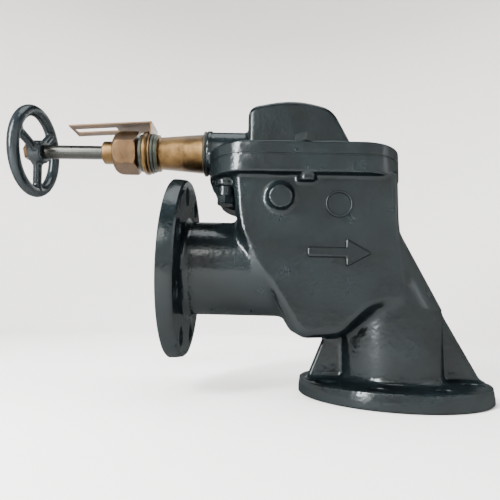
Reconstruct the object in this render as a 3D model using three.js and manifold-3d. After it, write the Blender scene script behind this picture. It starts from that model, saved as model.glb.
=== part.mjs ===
// Screw-down storm valve, angle pattern, nominal bore 80 mm, flanges to JIS 10K.
// Millimetres, +Z up. The origin is the centre of the outlet flange's sealing face, which looks down.
// The inlet comes in along +X from the left, and the stem lies above it, along X.
import * as THREE from 'three';
import { mergeVertices } from 'three/addons/utils/BufferGeometryUtils.js';
import Module from 'manifold-3d';

const wasm = await Module();
wasm.setup();

// ---- Driving dimensions ----
const GAP = 0.3;                      // clearance between turned or fitted neighbours

const FLANGE = { r: 92.5, t: 15, pitchR: 75, holeR: 9.5, holes: 8 };
const INLET_FACE_X = -224;            // sealing face of the inlet flange
const INLET_Z = 123;                  // height of the inlet axis
const BORE_R = 40;
const PIPE_R = 48.4;                  // outside of the inlet pipe
const NECK_R = 50;                    // outside of the outlet neck

const BODY_HALF_WIDTH = 52;           // flat cheeks of the chamber
const WALL = 6;
const JOINT_Z = 227;                  // top of the body casting, under the cover gasket
const GASKET_T = 1.5;
const BODY_RIM = 17;                  // depth of the body's top flange
const COVER_RIM = 12.5;               // thickness of the cover's flange
const RIM = { left: -188, right: 5.5, half: 62, cornerR: 44 };
const RIM_OPENING = { left: -150, right: -22, half: 38, cornerR: 20 };   // way into the chamber from above
const COVER_Z = JOINT_Z + GASKET_T;
const COVER_TOP = COVER_Z + COVER_RIM;

const PIN = { x: -116, z: 187, r: 7 };
const SEAT_TILT = THREE.MathUtils.degToRad(29);     // lean of the seat from vertical
const SEAT_CENTRE = new THREE.Vector2(-118.5, INLET_Z);
const SEAT_BORE_R = 39;
const SEAT_R = 44;
const DISC_R = 43.5;
const TAIL_LEAN = THREE.MathUtils.degToRad(22.5);     // lean of the fork when the flap is shut
const TAIL = { reach: 58, halfWidth: 7, halfSpan: 15, slot: 8.8, crotch: 44 };

const STEM_Z = 248.2;
const STEM_R = 7.5;
const STEM_BORE_R = STEM_R + 0.4;
const PAD = { r: 15, t: 8, faceX: -136.1 };
const BOSS_R = 23.5;                  // stem boss on the cover
const BOSS_FACE_X = -193;
const DOME_HALF_WIDTH = 30;

const WHEEL = { x: -385.3, ringR: 44, tubeR: 6, hubR: 12.5, spokes: 3 };
const SPOKE_TURN = THREE.MathUtils.degToRad(15);    // the lowest spoke's turn from straight down

const BOLT_M16 = { r: 8, af: 22, headT: 8.5 };
const BOLT_M10 = { r: 5, af: 16, headT: 8 };

// ---- Finishes ----
const FINISHES = {
  enamel: { color: 0x3c4446, roughness: 0.3, metalness: 0.0 },
  castBronze: { color: 0x9a8257, roughness: 0.45, metalness: 0.8 },
  darkBronze: { color: 0x8a7763, roughness: 0.5, metalness: 0.7 },
  steel: { color: 0x6d6f6c, roughness: 0.4, metalness: 0.9 },
  stainless: { color: 0x9a9c9c, roughness: 0.3, metalness: 0.9 },
  fibre: { color: 0x2b2a28, roughness: 0.9, metalness: 0.0 },
  copper: { color: 0x8c5a3c, roughness: 0.4, metalness: 0.9 },
  packing: { color: 0xb9b2a0, roughness: 0.9, metalness: 0.0 },
};

const valve = new THREE.Group();

// ---- Shape helpers ----
function toSolid(geometry) {
  const bare = geometry.index ? geometry.clone() : geometry;
  bare.deleteAttribute('normal');
  bare.deleteAttribute('uv');
  const merged = mergeVertices(bare, 1e-4);
  return new wasm.Manifold(new wasm.Mesh({
    numProp: 3,
    vertProperties: new Float32Array(merged.attributes.position.array),
    triVerts: new Uint32Array(merged.index.array),
  }));
}

function toGeometry(solid) {
  const mesh = solid.getMesh();
  const geometry = new THREE.BufferGeometry();
  geometry.setAttribute('position', new THREE.BufferAttribute(mesh.vertProperties, 3));
  geometry.setIndex(new THREE.BufferAttribute(mesh.triVerts, 1));
  geometry.computeVertexNormals();
  return geometry;
}

function join(...solids) {
  return solids.reduce((whole, solid) => whole.add(solid));
}

function cut(whole, ...tools) {
  return tools.reduce((rest, tool) => rest.subtract(tool), whole);
}

function addPart(name, finish, solid) {
  const mesh = new THREE.Mesh(toGeometry(solid), new THREE.MeshStandardMaterial(FINISHES[finish]));
  mesh.name = name;
  valve.add(mesh);
}

// Turn a geometry made along Y so that it lies along the named axis.
function alongAxis(geometry, axis) {
  if (axis === 'x') geometry.rotateZ(-Math.PI / 2);
  if (axis === 'z') geometry.rotateX(Math.PI / 2);
  return geometry;
}

// Round bar from one coordinate to another along an axis, centred on the other two coordinates of `at`.
function bar(axis, r, from, to, at, sides = 28) {
  const geometry = alongAxis(new THREE.CylinderGeometry(r, r, to - from, sides), axis);
  const centre = new THREE.Vector3(at[0], at[1], at[2]);
  centre[axis] = (from + to) / 2;
  geometry.translate(centre.x, centre.y, centre.z);
  return toSolid(geometry);
}

// Hexagonal bar of a given width across flats; turn is its roll about the axis.
function hexBar(axis, acrossFlats, from, to, at, turn = 0) {
  const r = acrossFlats / Math.sqrt(3);
  const geometry = new THREE.CylinderGeometry(r, r, to - from, 6);
  geometry.rotateY(turn);
  alongAxis(geometry, axis);
  const centre = new THREE.Vector3(at[0], at[1], at[2]);
  centre[axis] = (from + to) / 2;
  geometry.translate(centre.x, centre.y, centre.z);
  return toSolid(geometry);
}

// Solid of revolution about the stem's axis; profile points are [radius, x], from left to right.
function turnedOnStem(profile, sides = 28) {
  const points = profile.map(([r, x]) => new THREE.Vector2(r, x));
  const geometry = new THREE.LatheGeometry(points, sides);
  geometry.rotateZ(-Math.PI / 2);
  geometry.translate(0, 0, STEM_Z);
  return toSolid(geometry);
}

// Outline in X and Z, extruded across the valve from -halfWidth to +halfWidth.
function slab(outline, halfWidth, bevel = 0) {
  const shape = outline instanceof THREE.Shape
    ? outline
    : new THREE.Shape(outline.map(([x, z]) => new THREE.Vector2(x, z)));
  const geometry = new THREE.ExtrudeGeometry(shape, {
    depth: 2 * (halfWidth - bevel),
    bevelEnabled: bevel > 0,
    bevelThickness: bevel,
    bevelSize: bevel,
    bevelOffset: -bevel,
    bevelSegments: 2,
    curveSegments: 6,
  });
  geometry.translate(0, 0, -(halfWidth - bevel));
  geometry.rotateX(Math.PI / 2);
  return toSolid(geometry);
}

// Rounded rectangle in X and Y, from one height to another.
function roundedPlate(left, right, half, cornerR, fromZ, toZ) {
  const shape = new THREE.Shape();
  const r = cornerR;
  shape.absarc(right - r, -half + r, r, -Math.PI / 2, 0);
  shape.absarc(right - r, half - r, r, 0, Math.PI / 2);
  shape.absarc(left + r, half - r, r, Math.PI / 2, Math.PI);
  shape.absarc(left + r, -half + r, r, Math.PI, 1.5 * Math.PI);
  const geometry = new THREE.ExtrudeGeometry(shape, {
    depth: toZ - fromZ,
    bevelEnabled: false,
    curveSegments: 7,
  });
  geometry.translate(0, 0, fromZ);
  return toSolid(geometry);
}

// ---- Places on the leaning seat: n points away from the seat face, t runs up along it ----
const SEAT_N = new THREE.Vector2(Math.cos(SEAT_TILT), Math.sin(SEAT_TILT));
const SEAT_T = new THREE.Vector2(-Math.sin(SEAT_TILT), Math.cos(SEAT_TILT));

function onSeat(n, t) {
  return SEAT_CENTRE.clone().addScaledVector(SEAT_N, n).addScaledVector(SEAT_T, t);
}

// Move a geometry made about the X axis at the world's centre onto the seat's axis.
function placeOnSeat(geometry) {
  geometry.rotateY(-SEAT_TILT);
  geometry.translate(SEAT_CENTRE.x, 0, SEAT_CENTRE.y);
  return toSolid(geometry);
}

function seatBar(r, fromN, toN, sides = 32) {
  const geometry = alongAxis(new THREE.CylinderGeometry(r, r, toN - fromN, sides), 'x');
  geometry.translate((fromN + toN) / 2, 0, 0);
  return placeOnSeat(geometry);
}

// ---- Body casting ----
function flangeHoles(axis, from, to, at) {
  const across = axis === 'x' ? ['y', 'z'] : ['x', 'y'];
  const tools = [];
  for (let i = 0; i < FLANGE.holes; i++) {
    const angle = (i + 0.5) * 2 * Math.PI / FLANGE.holes;
    const centre = new THREE.Vector3(at[0], at[1], at[2]);
    centre[across[0]] += FLANGE.pitchR * Math.cos(angle);
    centre[across[1]] += FLANGE.pitchR * Math.sin(angle);
    tools.push(bar(axis, FLANGE.holeR, from, to, centre.toArray(), 12));
  }
  return tools;
}

// The outlet passage leans: round level sections whose centre moves left as they go up.
const LEAN = { fromZ: 85, toZ: 186, shift: -51.5 };

function leaningBar(r) {
  const height = LEAN.toZ - LEAN.fromZ;
  const geometry = alongAxis(new THREE.CylinderGeometry(r, r, height, 36), 'z');
  geometry.translate(0, 0, height / 2);
  geometry.applyMatrix4(new THREE.Matrix4().makeShear(0, 0, 0, 0, LEAN.shift / height, 0));
  geometry.translate(0, 0, LEAN.fromZ);
  return toSolid(geometry);
}

const COVER_BOLTS = [
  { name: 'cover_bolt_near', x: -91, y: -51, turn: 22 },
  { name: 'cover_bolt_far', x: -91, y: 51, turn: 41 },
  { name: 'cover_bolt_right', x: -8, y: 0, turn: 8 },
];
const UNDER_BOLTS = [
  { name: 'under_bolt_near', x: -170.2, y: -29, bossZ: 192.5 },
  { name: 'under_bolt_far', x: -170.2, y: 29, bossZ: 201 },
];
const BODY_UNDERSIDE = JOINT_Z - BODY_RIM;
const UNDER_BOSS = { r: 8.8, padR: 11.5, padZ: 202 };

function chamberOutside() {
  const outline = [[-163, 212], [-159, 175], [-154.5, 150], [-97, 55], [-58, 57],
    [-43, 73], [-20, 94], [-2, 98], [-2, 212]];
  return slab(outline, BODY_HALF_WIDTH, 7);
}

function chamberInside() {
  const outline = [[-150, 205], [-147, 170.3], [-87, 62], [-61, 62], [-28, 99], [-9, 103], [-9, 205]];
  return slab(outline, BODY_HALF_WIDTH - WALL);
}

function rimOpening(fromZ, toZ) {
  const { left, right, half, cornerR } = RIM_OPENING;
  return roundedPlate(left, right, half, cornerR, fromZ, toZ);
}

function endLug() {
  const outline = new THREE.Shape();
  outline.moveTo(-148, 214);
  outline.lineTo(-187, 214);
  outline.lineTo(-183, 200);
  outline.quadraticCurveTo(-178, 183, -148, 180);
  return slab(outline, 19, 5);
}

function ribs() {
  const left = slab([[-84, 13], [-44, 13], [-44, 59], [-66, 59]], 5);
  const right = slab([[44, 13], [90, 13], [50, 86], [44, 86]], 5);
  return join(left, right);
}

function bodyOutside() {
  const inlet = [0, 0, INLET_Z];
  let solid = join(
    bar('x', FLANGE.r, INLET_FACE_X, INLET_FACE_X + FLANGE.t, inlet, 44),
    bar('x', PIPE_R, INLET_FACE_X + 5, -106, inlet, 36),
    chamberOutside(),
    leaningBar(NECK_R),
    bar('z', NECK_R, 5, LEAN.fromZ + 0.01, [0, 0, 0], 36),
    bar('z', FLANGE.r, 0, FLANGE.t, [0, 0, 0], 44),
    ribs(),
    endLug(),
    roundedPlate(RIM.left, RIM.right, RIM.half, RIM.cornerR, BODY_UNDERSIDE, JOINT_Z),
  );
  for (const bolt of COVER_BOLTS.slice(0, 2)) {
    solid = solid.add(bar('z', 9, 203, BODY_UNDERSIDE + 1, [bolt.x, bolt.y, 0], 16));
  }
  for (const bolt of UNDER_BOLTS) {
    const at = [bolt.x, bolt.y, 0];
    solid = solid.add(bar('z', UNDER_BOSS.r, bolt.bossZ, BODY_UNDERSIDE + 1, at, 20));
    solid = solid.add(bar('z', UNDER_BOSS.padR, UNDER_BOSS.padZ, BODY_UNDERSIDE + 1, at, 20));
  }
  const pin = [PIN.x, 0, PIN.z];
  return join(
    solid,
    bar('y', 11.4, -60, -BODY_HALF_WIDTH + 2, pin, 24),
    bar('y', 14, BODY_HALF_WIDTH - 2, 58, pin, 24),
  );
}

function body() {
  const pin = [PIN.x, 0, PIN.z];
  const hollow = join(
    bar('x', BORE_R, INLET_FACE_X - 1, -90, [0, 0, INLET_Z], 36).intersect(seatBar(150, -200, -10)),
    seatBar(SEAT_BORE_R, -11, 6),
    seatBar(SEAT_R + GAP, -7, 8),
    chamberInside(),
    rimOpening(200, JOINT_Z + 1),
    leaningBar(BORE_R),
    bar('z', BORE_R, -1, LEAN.fromZ + 0.01, [0, 0, 0], 36),
  );
  const pinBore = bar('y', PIN.r + GAP, -55, 60, pin, 24);
  const plugBore = bar('y', 9.3, 52, 60, pin, 24);
  let solid = cut(
    bodyOutside(),
    hollow,
    pinBore,
    plugBore,
    ...flangeHoles('x', INLET_FACE_X - 1, INLET_FACE_X + FLANGE.t + 1, [0, 0, INLET_Z]),
    ...flangeHoles('z', -1, FLANGE.t + 1, [0, 0, 0]),
  );
  for (const bolt of COVER_BOLTS) {
    solid = solid.subtract(bar('z', BOLT_M16.r + GAP, JOINT_Z - 13.5, JOINT_Z + 1, [bolt.x, bolt.y, 0], 16));
  }
  for (const bolt of UNDER_BOLTS) {
    solid = solid.subtract(bar('z', BOLT_M10.r + GAP, bolt.bossZ - 1, JOINT_Z + 1, [bolt.x, bolt.y, 0], 16));
  }
  return solid;
}

// Bronze ring pressed into the leaning seat; it stands 2 mm proud of the wall.
function seatRing() {
  return cut(seatBar(SEAT_R, -6.7, 0), seatBar(SEAT_BORE_R, -10, 5));
}

// ---- Cover ----
function domeOutline(inset) {
  const left = -149.5 + inset;
  const top = 295.5 - inset;
  const shape = new THREE.Shape();
  shape.moveTo(left, COVER_Z - (inset > 0 ? 1 : 0));
  shape.lineTo(-38 - inset * 1.3, COVER_Z - (inset > 0 ? 1 : 0));
  shape.lineTo(-38 - inset * 1.3, COVER_TOP + 2);
  shape.lineTo(-59 - inset, 282);
  shape.quadraticCurveTo(-62 - inset, 289 - inset * 0.6, -74, 291.6 - inset);
  shape.quadraticCurveTo(-102, top + 4.5, -131, 291.8 - inset);
  shape.quadraticCurveTo(left + 1, 287 - inset, left + 1, 276 - inset);
  return shape;
}

function stemBoss() {
  const round = join(
    bar('x', BOSS_R, BOSS_FACE_X, -145, [0, 0, STEM_Z]),
    bar('x', BOSS_R + 1.3, BOSS_FACE_X, -188.6, [0, 0, STEM_Z]),
  );
  const below = slab([[-188.4, 200], [-100, 200], [-100, COVER_Z], [-188.4, COVER_Z]], 60);
  return round.subtract(below);
}

function cover() {
  let solid = join(
    roundedPlate(RIM.left, RIM.right, RIM.half, RIM.cornerR, COVER_Z, COVER_TOP),
    slab(domeOutline(0), DOME_HALF_WIDTH, 3),
    stemBoss(),
  );
  solid = cut(
    solid,
    slab(domeOutline(6), DOME_HALF_WIDTH - 5.5),
    bar('x', 17.3, -200, -160, [0, 0, STEM_Z]),
    bar('x', PAD.r + 1, -161, -140, [0, 0, STEM_Z]),
  );
  for (const bolt of COVER_BOLTS) {
    solid = solid.subtract(bar('z', BOLT_M16.r + GAP, 220, 250, [bolt.x, bolt.y, 0], 16));
  }
  for (const bolt of UNDER_BOLTS) {
    solid = solid.subtract(bar('z', BOLT_M10.r + GAP, 220, COVER_Z + 9.5, [bolt.x, bolt.y, 0], 16));
  }
  return solid;
}

function coverGasket() {
  let solid = cut(
    roundedPlate(RIM.left + 0.6, RIM.right - 0.6, RIM.half - 0.6, RIM.cornerR - 0.6, JOINT_Z, COVER_Z),
    rimOpening(JOINT_Z - 1, COVER_Z + 1),
  );
  for (const bolt of COVER_BOLTS) {
    solid = solid.subtract(bar('z', BOLT_M16.r + GAP, 220, 240, [bolt.x, bolt.y, 0], 12));
  }
  for (const bolt of UNDER_BOLTS) {
    solid = solid.subtract(bar('z', BOLT_M10.r + GAP, 220, 240, [bolt.x, bolt.y, 0], 12));
  }
  return solid;
}

function coverBolt(bolt) {
  const turn = THREE.MathUtils.degToRad(bolt.turn);
  return join(
    hexBar('z', BOLT_M16.af, COVER_TOP, COVER_TOP + BOLT_M16.headT, [bolt.x, bolt.y, 0], turn),
    bar('z', BOLT_M16.r, JOINT_Z - 13, COVER_TOP + 1, [bolt.x, bolt.y, 0], 16),
  );
}

function underBolt(bolt) {
  const top = bolt.bossZ;
  return join(
    hexBar('z', BOLT_M10.af, top - BOLT_M10.headT, top, [bolt.x, bolt.y, 0]),
    bar('z', BOLT_M10.r, top - 1, COVER_Z + 9, [bolt.x, bolt.y, 0], 16),
  );
}

// ---- Flap and its hinge ----
function hingePin() {
  return bar('y', PIN.r, -54.5, 51.5, [PIN.x, 0, PIN.z], 24);
}

function hingePlug() {
  const at = [PIN.x, 0, PIN.z];
  return join(bar('y', 9, 52.2, 60, at, 24), hexBar('y', 24, 59.5, 68, at, Math.PI / 6));
}

function ring(axis, outerR, innerR, from, to, at, sides = 24) {
  return cut(bar(axis, outerR, from, to, at, sides), bar(axis, innerR, from - 1, to + 1, at, sides));
}

// Rounded fork arm made upright over the pin, then leaned over with the flap shut.
function tailFork() {
  const outline = new THREE.Shape();
  outline.moveTo(-TAIL.halfWidth, 4);
  outline.lineTo(TAIL.halfWidth, 4);
  outline.absarc(0, TAIL.reach, TAIL.halfWidth, 0, Math.PI);
  const geometry = new THREE.ExtrudeGeometry(outline, {
    depth: 2 * TAIL.halfSpan,
    bevelEnabled: false,
    curveSegments: 10,
  });
  geometry.translate(0, 0, -TAIL.halfSpan);
  geometry.rotateX(Math.PI / 2);
  const slot = new THREE.BoxGeometry(40, 2 * TAIL.slot, 60);
  slot.translate(0, 0, TAIL.crotch + 30);
  for (const piece of [geometry, slot]) {
    piece.rotateY(TAIL_LEAN);
    piece.translate(PIN.x, 0, PIN.z);
  }
  return toSolid(geometry).subtract(toSolid(slot));
}

function flapArm() {
  const outline = [[12.4, -15], [23, -15], [23, 15], [44, 48], [26, 64], [19, 44], [12.4, 14]];
  const web = slab(outline.map(([n, t]) => onSeat(n, t).toArray()), 10);
  const solid = join(
    web,
    seatBar(15, 12.4, 23, 24),
    bar('y', 13, -22, 22, [PIN.x, 0, PIN.z], 24),
    tailFork(),
  );
  return cut(
    solid,
    seatBar(8, 5, 30, 24),
    bar('y', 10, -30, 30, [PIN.x, 0, PIN.z], 24),
  );
}

function flapDisc() {
  const solid = join(seatBar(DISC_R, GAP, 9, 32), seatBar(14, 8, 12, 32), seatBar(7, 11, 42, 24));
  const pinHole = onSeat(39.2, 0);
  const groove = cut(seatBar(SEAT_R - 1 + GAP, -1, 3.2, 32), seatBar(SEAT_BORE_R - 3 - GAP, -2, 4, 32));
  return cut(solid, bar('y', 1.9, -10, 10, [pinHole.x, 0, pinHole.y], 12), groove);
}

function discFacing() {
  return cut(seatBar(SEAT_R - 1, GAP, 2.9, 32), seatBar(SEAT_BORE_R - 3, -1, 5, 32));
}

function discWasher() {
  return cut(seatBar(13.5, 23.3, 25.5, 28), seatBar(7.4, 20, 30, 24));
}

function discNut() {
  const geometry = alongAxis(new THREE.CylinderGeometry(22 / Math.sqrt(3), 22 / Math.sqrt(3), 10, 6), 'x');
  geometry.translate(30.8, 0, 0);
  return cut(placeOnSeat(geometry), seatBar(7.3, 20, 40, 24));
}

function splitPin() {
  const at = onSeat(39.2, 0);
  return join(
    bar('y', 1.5, -11, 13, [at.x, 0, at.y], 12),
    bar('y', 3, -13.5, -10, [at.x, 0, at.y], 16),
  );
}

// ---- Stem, gland and hand gear ----
const NECK_COLLAR_X = BOSS_FACE_X - 1;

// Bronze neck: thread into the cover, collar, taper, indicator shoulder, and a threaded nose
// bored out as the stuffing box.
function stemNeck() {
  return turnedOnStem([
    [13, -285], [16, -285], [16, -253.9], [21, -253.9], [21, -250.6], [20, -250.2],
    [20, -245.6], [17.2, -244.8], [21.2, -196.6], [24.3, -196.6], [24.3, NECK_COLLAR_X], [17, NECK_COLLAR_X], [17, -162], [STEM_BORE_R, -162],
    [STEM_BORE_R, -263.6], [13, -263.6], [13, -285],
  ]);
}

function collarRing(outerR, innerR, from, to) {
  return turnedOnStem([[innerR, from], [outerR, from], [outerR, to], [innerR, to], [innerR, from]]);
}

function glandNut() {
  const x = { left: -295.3, right: -268.8 };
  const turn = THREE.MathUtils.degToRad(15);
  const hex = hexBar('x', 41, x.left, x.right, [0, 0, STEM_Z], turn);
  const chamfer = turnedOnStem([
    [0, x.left], [16, x.left], [20, x.left + 1.8], [22.6, x.left + 4.4], [23.5, x.left + 7],
    [23.5, x.right - 1.5], [22, x.right], [0, x.right],
  ]);
  return cut(
    hex.intersect(chamfer),
    bar('x', 16.4, -289.5, -255, [0, 0, STEM_Z]),
    bar('x', 12.8, -300, -285, [0, 0, STEM_Z]),
  );
}

function glandFollower() {
  return turnedOnStem([
    [STEM_BORE_R, -307.5], [11.8, -307.5], [12.4, -306.5], [12.4, -289.2], [15.5, -289.2],
    [15.5, -285.5], [12.6, -285.5], [12.6, -279.3], [STEM_BORE_R, -279.3], [STEM_BORE_R, -307.5],
  ]);
}

function lockNut() {
  return turnedOnStem([
    [16.3, -262.6], [21.8, -262.6], [23.5, -260.8], [23.5, -257.8], [21.8, -256], [16.3, -256],
    [16.3, -262.6],
  ]);
}

// Slotted bronze strip that shows how far the stem is screwed in. Its foot is a washer on the neck.
const INDICATOR = { left: -344, slotLeft: -341, slotRight: -295, right: -254, half: 14.2, slotHalf: 5,
  t: 1.6, lowZ: 274, highZ: 279.6 };

function indicatorPlate() {
  const { left, right, lowZ, highZ, t } = INDICATOR;
  const strip = slab([[left, lowZ - t], [right, highZ - t], [right, highZ], [left, lowZ]], INDICATOR.half);
  const leg = slab([[right - t, STEM_Z], [right, STEM_Z], [right, highZ], [right - t, highZ]], INDICATOR.half);
  const washer = bar('x', 22.5, right - t, right, [0, 0, STEM_Z]);
  const slot = slab([[INDICATOR.slotLeft, 255], [INDICATOR.slotRight, 255],
    [INDICATOR.slotRight, 290], [INDICATOR.slotLeft, 290]], INDICATOR.slotHalf);
  return cut(join(strip, leg, washer), slot, bar('x', 16.3, -260, -250, [0, 0, STEM_Z]));
}

const HUB = { left: -389, right: -374 };
const SQUARE = 11;                    // side of the stem's drive square

function squareBar(side, from, to) {
  const geometry = new THREE.BoxGeometry(to - from, side, side);
  geometry.translate((from + to) / 2, 0, STEM_Z);
  return toSolid(geometry);
}

function stem() {
  const at = [0, 0, STEM_Z];
  const padBack = PAD.faceX - PAD.t;
  return join(
    bar('x', 4.7, -395, HUB.left + 1, at, 20),
    squareBar(SQUARE, HUB.left, HUB.right + 0.2),
    bar('x', STEM_R, HUB.right, padBack - GAP, at, 24),
    bar('x', 5, padBack - 1, PAD.faceX - 3.5, at, 24),
  );
}

function thrustPad() {
  const r = PAD.r;
  const back = PAD.faceX - PAD.t;
  return turnedOnStem([
    [5.3, back], [r - 2, back], [r, back + 2], [r, PAD.faceX - 1], [r - 1, PAD.faceX], [0, PAD.faceX],
    [0, PAD.faceX - 3.2], [5.3, PAD.faceX - 3.2], [5.3, back],
  ]);
}

// Three-spoke wheel, slightly dished.
function handwheel() {
  const rim = new THREE.TorusGeometry(WHEEL.ringR, WHEEL.tubeR, 10, 32);
  rim.rotateY(Math.PI / 2);
  rim.translate(WHEEL.x, 0, STEM_Z);
  let solid = toSolid(rim);
  const hub = turnedOnStem([
    [0, HUB.left], [9.5, HUB.left], [WHEEL.hubR, HUB.left + 2], [WHEEL.hubR, HUB.right - 2],
    [9.5, HUB.right], [0, HUB.right],
  ], 20);
  solid = solid.add(hub);
  for (let i = 0; i < WHEEL.spokes; i++) {
    const spoke = new THREE.CylinderGeometry(4.6, 4.6, WHEEL.ringR - 4, 10);
    spoke.rotateX(Math.PI / 2);
    spoke.translate(0, 0, -WHEEL.ringR / 2 - 2);
    spoke.applyMatrix4(new THREE.Matrix4().makeShear(0, 0, 0, 0, 0.06, 0));
    spoke.rotateX(SPOKE_TURN + i * 2 * Math.PI / WHEEL.spokes);
    spoke.translate(WHEEL.x + 2.8, 0, STEM_Z);
    solid = solid.add(toSolid(spoke));
  }
  return solid.subtract(squareBar(SQUARE + 2 * GAP, HUB.left - 1, HUB.right + 1));
}

function wheelNut() {
  const hex = hexBar('x', 17, -394, -390.1, [0, 0, STEM_Z], Math.PI / 6);
  return hex.subtract(bar('x', 5, -400, -380, [0, 0, STEM_Z], 16));
}

// ---- Assembly ----
addPart('body', 'enamel', body());
addPart('seat_ring', 'castBronze', seatRing());
addPart('cover_gasket', 'fibre', coverGasket());
addPart('cover', 'enamel', cover());
for (const bolt of COVER_BOLTS) addPart(bolt.name, 'enamel', coverBolt(bolt));
for (const bolt of UNDER_BOLTS) addPart(bolt.name, 'enamel', underBolt(bolt));

const PIN_AT = [PIN.x, 0, PIN.z];
addPart('hinge_pin', 'stainless', hingePin());
addPart('hinge_plug', 'castBronze', hingePlug());
addPart('plug_washer', 'copper', ring('y', 13, 9.3, 58, 59.5, PIN_AT));
addPart('pin_spacer_near', 'castBronze', ring('y', 11, PIN.r + GAP, -45.7, -22.4, PIN_AT));
addPart('pin_spacer_far', 'castBronze', ring('y', 11, PIN.r + GAP, 22.4, 45.7, PIN_AT));
addPart('hinge_bush_near', 'castBronze', ring('y', 9.7, PIN.r + GAP, -22, -0.5, PIN_AT));
addPart('hinge_bush_far', 'castBronze', ring('y', 9.7, PIN.r + GAP, 0.5, 22, PIN_AT));
addPart('flap_arm', 'castBronze', flapArm());
addPart('flap_disc', 'castBronze', flapDisc());
addPart('disc_facing', 'fibre', discFacing());
addPart('disc_washer', 'stainless', discWasher());
addPart('disc_nut', 'stainless', discNut());
addPart('disc_split_pin', 'stainless', splitPin());

addPart('stem_neck', 'castBronze', stemNeck());
addPart('neck_gasket', 'fibre', collarRing(23.5, 17.3, NECK_COLLAR_X, BOSS_FACE_X));
addPart('indicator_plate', 'darkBronze', indicatorPlate());
addPart('indicator_lock_nut', 'darkBronze', lockNut());
addPart('indicator_lock_washer', 'castBronze', collarRing(20.5, 16.3, -265.8, -262.7));
for (let i = 0; i < 3; i++) {
  const left = -279 + i * 5.1;
  addPart(`packing_ring_${i + 1}`, 'packing', collarRing(12.7, STEM_R + GAP, left, left + 4.9));
}
addPart('gland_follower', 'castBronze', glandFollower());
addPart('gland_nut', 'darkBronze', glandNut());
addPart('thrust_pad', 'stainless', thrustPad());
addPart('stem', 'steel', stem());
addPart('handwheel', 'enamel', handwheel());
addPart('wheel_washer', 'steel', collarRing(8.6, 5, HUB.left - 1, HUB.left));
addPart('wheel_nut', 'enamel', wheelNut());

export default valve;
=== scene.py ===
import math

import bmesh
import bpy
import numpy as np
from mathutils import Matrix, Vector


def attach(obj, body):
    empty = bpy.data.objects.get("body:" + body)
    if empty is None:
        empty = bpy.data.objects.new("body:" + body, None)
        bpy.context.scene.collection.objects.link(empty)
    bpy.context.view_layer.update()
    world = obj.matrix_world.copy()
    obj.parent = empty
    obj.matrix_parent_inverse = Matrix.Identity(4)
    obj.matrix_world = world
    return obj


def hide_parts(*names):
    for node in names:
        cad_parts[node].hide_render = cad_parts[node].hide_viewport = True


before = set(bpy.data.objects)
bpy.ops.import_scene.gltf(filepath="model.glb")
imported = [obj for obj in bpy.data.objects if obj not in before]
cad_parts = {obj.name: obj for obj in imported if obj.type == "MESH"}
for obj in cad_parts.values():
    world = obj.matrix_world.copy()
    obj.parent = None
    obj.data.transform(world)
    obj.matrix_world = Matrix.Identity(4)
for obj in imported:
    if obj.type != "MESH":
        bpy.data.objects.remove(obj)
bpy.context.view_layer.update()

# ---- Studio ----
# A pale seamless floor that turns up into a wall all round, one tall window-like soft box to the
# left of the valve, a broad one overhead and a weaker one on the right.
MM = 0.001


def linear(colour):
    """An sRGB colour such as "#3c4446" as linear red, green, blue and 1."""
    parts = [int(colour[i : i + 2], 16) / 255 for i in (1, 3, 5)]
    return [p / 12.92 if p <= 0.04045 else ((p + 0.055) / 1.055) ** 2.4 for p in parts] + [1.0]


def add(tree, kind, inputs=None, **settings):
    """Adds one node; inputs maps a socket's name or number to a value or to the output that feeds it."""
    node = tree.nodes.new(kind)
    for name, value in settings.items():
        setattr(node, name, value)
    for name, value in (inputs or {}).items():
        if isinstance(value, bpy.types.NodeSocket):
            tree.links.new(value, node.inputs[name])
        else:
            node.inputs[name].default_value = value
    return node


def new_material(name):
    """A material with an empty node tree and its output node."""
    material = bpy.data.materials.new(name)
    material.use_nodes = True
    material.node_tree.nodes.clear()
    return material, material.node_tree


def finish_material(tree, shader):
    add(tree, "ShaderNodeOutputMaterial", {"Surface": shader.outputs[0]})


def build_mesh(name, vertices, faces, material, sharp=35):
    """A smooth mesh object from points in millimetres; edges that turn more than sharp degrees stay crisp."""
    mesh = bpy.data.meshes.new(name)
    mesh.from_pydata((np.asarray(vertices) * MM).tolist(), [], np.asarray(faces).tolist())
    mesh.validate()
    mesh.polygons.foreach_set("use_smooth", np.ones(len(mesh.polygons), bool))
    mesh.set_sharp_from_angle(angle=math.radians(sharp))
    mesh.materials.append(material)
    piece = bpy.data.objects.new(name, mesh)
    bpy.context.scene.collection.objects.link(piece)
    return piece


def grid_faces(rows, columns, wrap_rows=False, wrap_columns=False):
    """Quads between neighbouring points of a grid of points stored row by row."""
    i = np.arange(rows if wrap_rows else rows - 1)[:, None]
    j = np.arange(columns if wrap_columns else columns - 1)[None, :]
    i2, j2 = (i + 1) % rows, (j + 1) % columns
    return np.stack([i * columns + j, i * columns + j2, i2 * columns + j2, i2 * columns + j], -1).reshape(-1, 4)


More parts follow.
